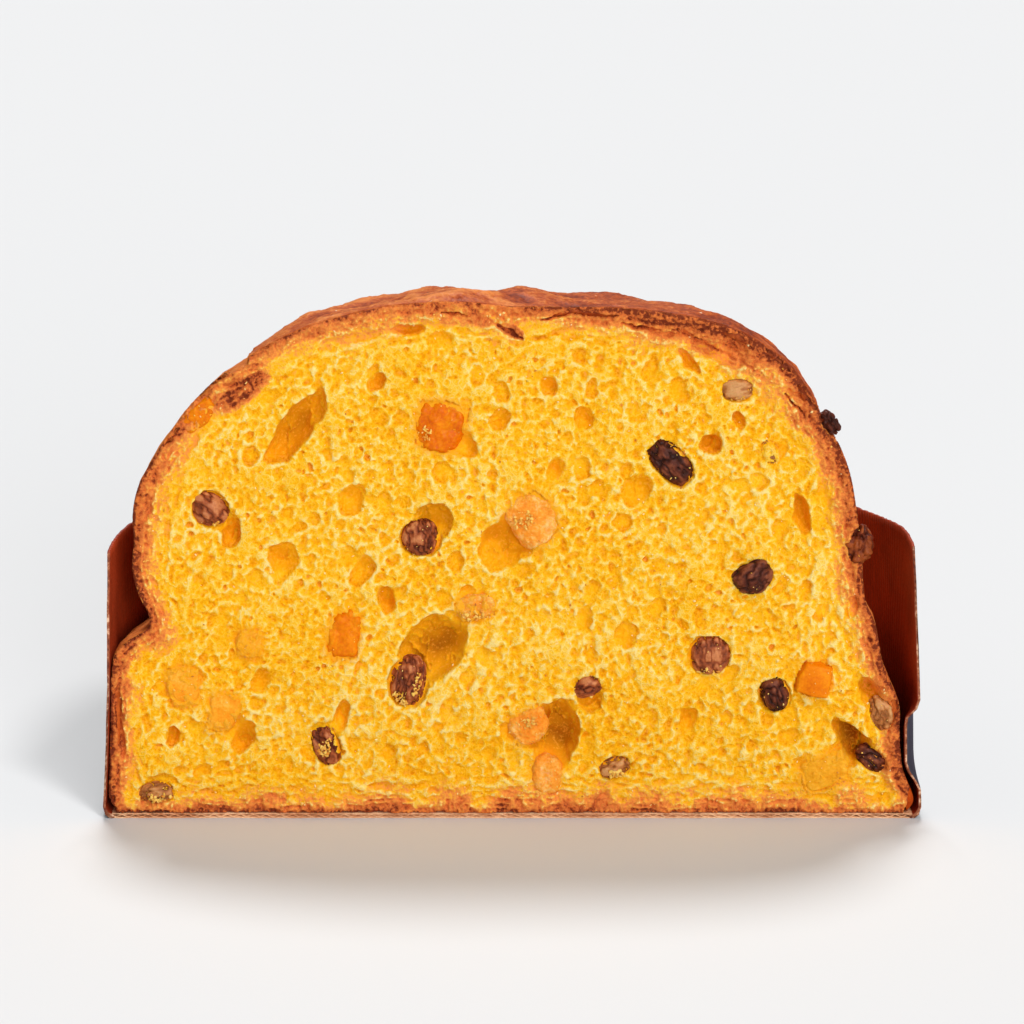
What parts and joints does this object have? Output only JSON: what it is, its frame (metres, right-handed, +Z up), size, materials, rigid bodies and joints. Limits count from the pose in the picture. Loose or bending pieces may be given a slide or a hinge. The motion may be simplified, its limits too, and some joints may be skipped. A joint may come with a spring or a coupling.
{
  "type": "half panettone",
  "caption": "Low domed fruit loaf cut in half upright, with open yellow crumb, raisins and candied peel, standing in its half of a brown paper baking case.",
  "frame": {"origin": "on the surface that it stands on, under the middle of the whole piece's box", "axes": "+Z up, the cut face looks along -Y, +X to the right of a viewer who faces the cut"},
  "size_m": [0.2124, 0.1088, 0.1373],
  "materials": {
    "crumb": "soft open crumb",
    "paper": "fluted brown paper",
    "raisin": "wrinkled, slightly moist",
    "sultana": "wrinkled, slightly translucent",
    "peel": "moist, translucent",
    "pale_peel": "moist, translucent"
  },
  "bodies": {
    "root": {"loaf": "crumb", "paper_case": "paper", "raisin_far_left": "raisin", "raisin_left": "raisin", "raisin_upper": "raisin", "raisin_right": "raisin", "raisin_cut": "raisin", "raisin_dark": "raisin", "raisin_small": "raisin", "raisin_hollow": "raisin", "raisin_low_left": "raisin", "raisin_corner": "raisin", "raisin_on_crust": "raisin", "raisin_burnt": "raisin", "sultana_low": "sultana", "sultana_foot": "sultana", "sultana_top": "sultana", "sultana_faint": "sultana", "sultana_wall": "sultana", "peel_amber": "peel", "peel_peach": "pale_peel", "peel_crescent": "peel", "peel_cube": "peel", "peel_rough": "pale_peel", "peel_pale": "pale_peel", "peel_buried": "pale_peel", "peel_faint": "pale_peel", "peel_tan": "pale_peel", "peel_lemon": "pale_peel", "peel_in_crust": "pale_peel", "citron_corner": "pale_peel"}
  },
  "joints": []
}
